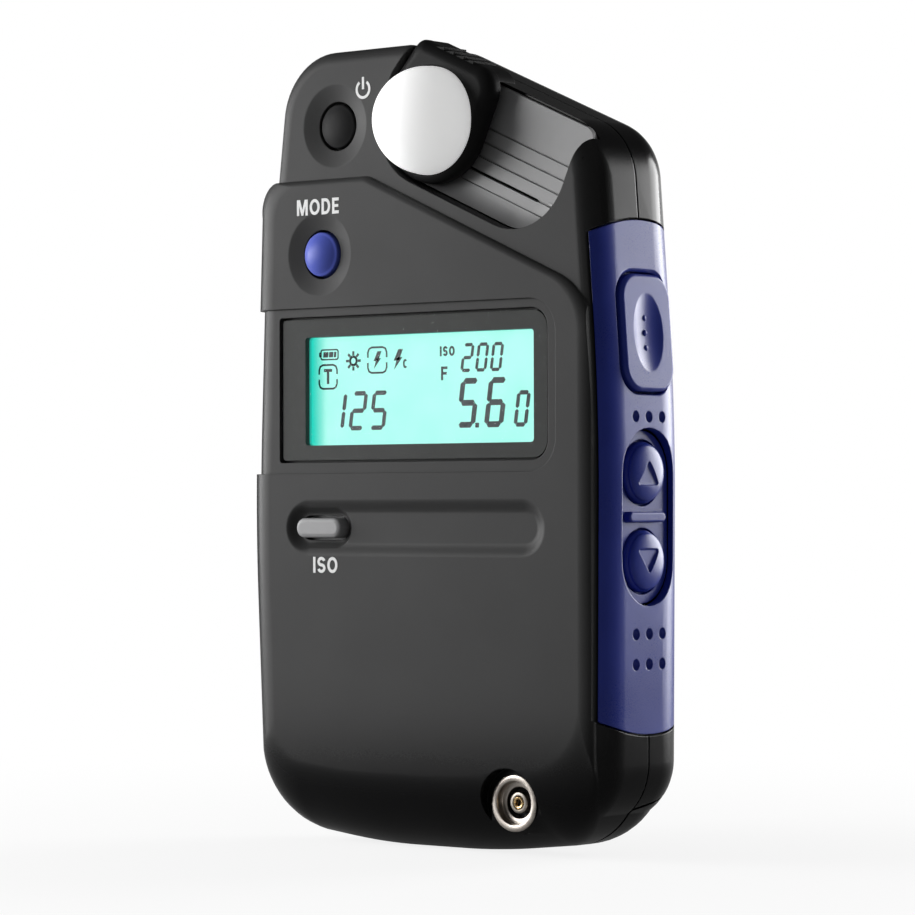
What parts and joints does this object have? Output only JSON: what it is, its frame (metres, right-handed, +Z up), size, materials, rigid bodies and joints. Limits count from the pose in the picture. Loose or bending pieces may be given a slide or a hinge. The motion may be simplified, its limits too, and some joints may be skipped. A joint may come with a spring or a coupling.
{
  "type": "handheld light meter",
  "caption": "Handheld light meter with a sliding light dome in a sloping track, display window, side grip keys, round front keys, sync socket and a rear battery door.",
  "frame": {"origin": "middle of the bounding box's foot, under the middle of the case", "axes": "+Z up from the battery end to the dome end, front with the display towards -Y, grip towards +X"},
  "size_m": [0.064, 0.029, 0.1103],
  "materials": {
    "shell_plastic": "fine matt texture",
    "blue_plastic": "satin",
    "window": "polished",
    "black_plastic": "satin",
    "opal": "smooth translucent",
    "satin_grey": "satin",
    "component": "semi gloss",
    "grey_plastic": "satin",
    "display": "smooth",
    "elastomer": "matt",
    "circuit_board": "solder mask",
    "nickel": "bright nickel",
    "contact_brass": "gold plated",
    "cell_sleeve": "printed sleeve, bare",
    "screw_steel": "black oxide"
  },
  "bodies": {
    "case": {"front_shell": "shell_plastic", "rear_shell": "shell_plastic", "side_grip": "blue_plastic", "display_window": "window", "slide_plate": "satin_grey", "sensor_window": "opal", "photodiode": "component", "key_bridge": "blue_plastic", "display_panel": "display", "backlight": "opal", "display_connector": "elastomer", "display_frame": "black_plastic", "main_board": "circuit_board", "side_board": "circuit_board", "board_link": "elastomer", "power_switch": "component", "mode_switch": "component", "iso_switch": "component", "measure_switch": "component", "up_switch": "component", "down_switch": "component", "processor_chip": "component", "analog_chip": "component", "display_driver": "component", "clock_crystal": "nickel", "power_coil": "component", "filter_capacitor": "component", "sync_shell": "nickel", "sync_insulator": "black_plastic", "sync_contact": "contact_brass", "sync_nut": "nickel", "battery_cell": "cell_sleeve", "battery_tray": "black_plastic", "battery_plate": "nickel", "battery_spring": "nickel", "case_screw_head_left": "screw_steel", "case_screw_head_right": "screw_steel", "case_screw_foot_left": "screw_steel", "case_screw_foot_right": "screw_steel", "strap_pin": "nickel"},
    "slider": {"slider_carriage": "black_plastic", "light_dome": "opal", "slider_keeper": "black_plastic"},
    "power_button": {"power_key": "black_plastic"},
    "mode_button": {"mode_key": "blue_plastic"},
    "iso_button": {"iso_key": "grey_plastic"},
    "measure_button": {"measure_key": "blue_plastic"},
    "up_button": {"up_key": "blue_plastic"},
    "down_button": {"down_key": "blue_plastic"},
    "door": {"battery_door": "shell_plastic"}
  },
  "joints": [
    {"name": "dome_slide", "type": "slide", "parent": "case", "child": "slider", "axis": [0.9135, 0, -0.4067], "range_m": [0, 0.016]},
    {"name": "power_press", "type": "slide", "parent": "case", "child": "power_button", "axis": [0, 1, 0], "range_m": [0, 0.0005], "stiffness_N_per_m": 300},
    {"name": "mode_press", "type": "slide", "parent": "case", "child": "mode_button", "axis": [0, 1, 0], "range_m": [0, 0.0005], "stiffness_N_per_m": 300},
    {"name": "iso_press", "type": "slide", "parent": "case", "child": "iso_button", "axis": [0, 1, 0], "range_m": [0, 0.0005], "stiffness_N_per_m": 300},
    {"name": "measure_press", "type": "slide", "parent": "case", "child": "measure_button", "axis": [-0.9972, 0, -0.0751], "range_m": [0, 0.0005], "stiffness_N_per_m": 300},
    {"name": "up_press", "type": "slide", "parent": "case", "child": "up_button", "axis": [-1, 0, 0], "range_m": [0, 0.0005], "stiffness_N_per_m": 300},
    {"name": "down_press", "type": "slide", "parent": "case", "child": "down_button", "axis": [-1, 0, 0], "range_m": [0, 0.0005], "stiffness_N_per_m": 300},
    {"name": "door_slide", "type": "slide", "parent": "case", "child": "door", "axis": [0, 0, -1], "range_m": [0, 0.022]}
  ]
}
